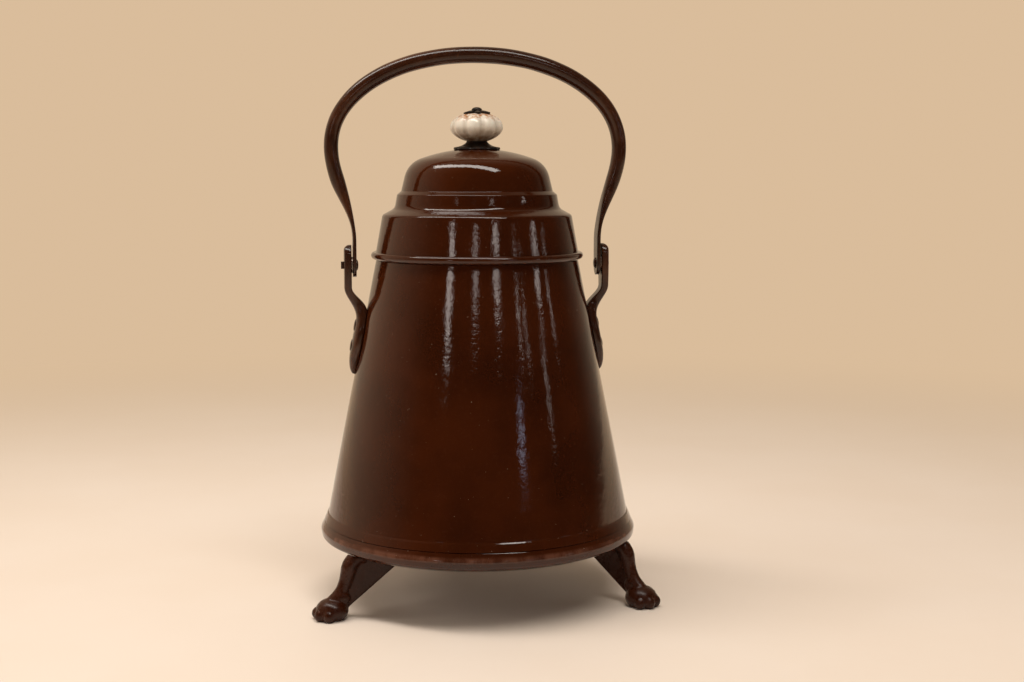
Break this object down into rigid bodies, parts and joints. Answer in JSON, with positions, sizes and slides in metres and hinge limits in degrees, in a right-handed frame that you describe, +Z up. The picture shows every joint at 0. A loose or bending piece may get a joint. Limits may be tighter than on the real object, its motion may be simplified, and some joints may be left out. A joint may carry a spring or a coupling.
{
  "type": "soup kettle",
  "caption": "Tapered brown enamelled kettle on cast paw feet, with a lift-off domed lid, a lobed porcelain knob and a forged swing handle.",
  "frame": {"origin": "on the kettle's axis, in the plane of the foot soles", "axes": "+Z up along the kettle's axis; the handle's ears stand on the X axis; one foot points along +Y, so -Y is the front"},
  "size_m": [0.2721, 0.2818, 0.436],
  "materials": {
    "brown_enamel": "gloss vitreous enamel over steel sheet",
    "brown_casting": "gloss brown enamel over cast iron",
    "black_iron": "worn black japanned forging",
    "knob_iron": "dark oxidised",
    "porcelain": "glazed, stained by rust at the top",
    "plain_steel": "dull"
  },
  "bodies": {
    "kettle": {"body_shell": "brown_enamel", "bottom_pan": "brown_enamel", "neck_collar": "brown_enamel", "mouth_wire": "plain_steel", "base_ring": "brown_enamel", "base_wire": "plain_steel", "left_ear": "black_iron", "right_ear": "black_iron", "left_ear_rivets": "black_iron", "right_ear_rivets": "black_iron", "left_pivot_pin": "black_iron", "right_pivot_pin": "black_iron", "left_pivot_washer": "plain_steel", "right_pivot_washer": "plain_steel", "foot_back": "brown_casting", "foot_front_left": "brown_casting", "foot_front_right": "brown_casting", "foot_back_rivets": "black_iron", "foot_front_left_rivets": "black_iron", "foot_front_right_rivets": "black_iron"},
    "lid": {"lid_shell": "brown_enamel", "lid_rim_wire": "plain_steel", "knob_base": "knob_iron", "knob": "porcelain", "knob_cap": "knob_iron", "knob_screw": "knob_iron", "knob_washer": "plain_steel", "knob_nut": "plain_steel"},
    "handle": {"bail": "black_iron"}
  },
  "joints": [
    {"name": "lid_lift", "type": "slide", "parent": "kettle", "child": "lid", "axis": [0, 0, 1], "range_m": [0, 0.032]},
    {"name": "handle_swing", "type": "hinge", "parent": "kettle", "child": "handle", "pos_m": [0, 0, 0.265], "axis": [1, 0, 0], "range_deg": [-135, 135]}
  ]
}
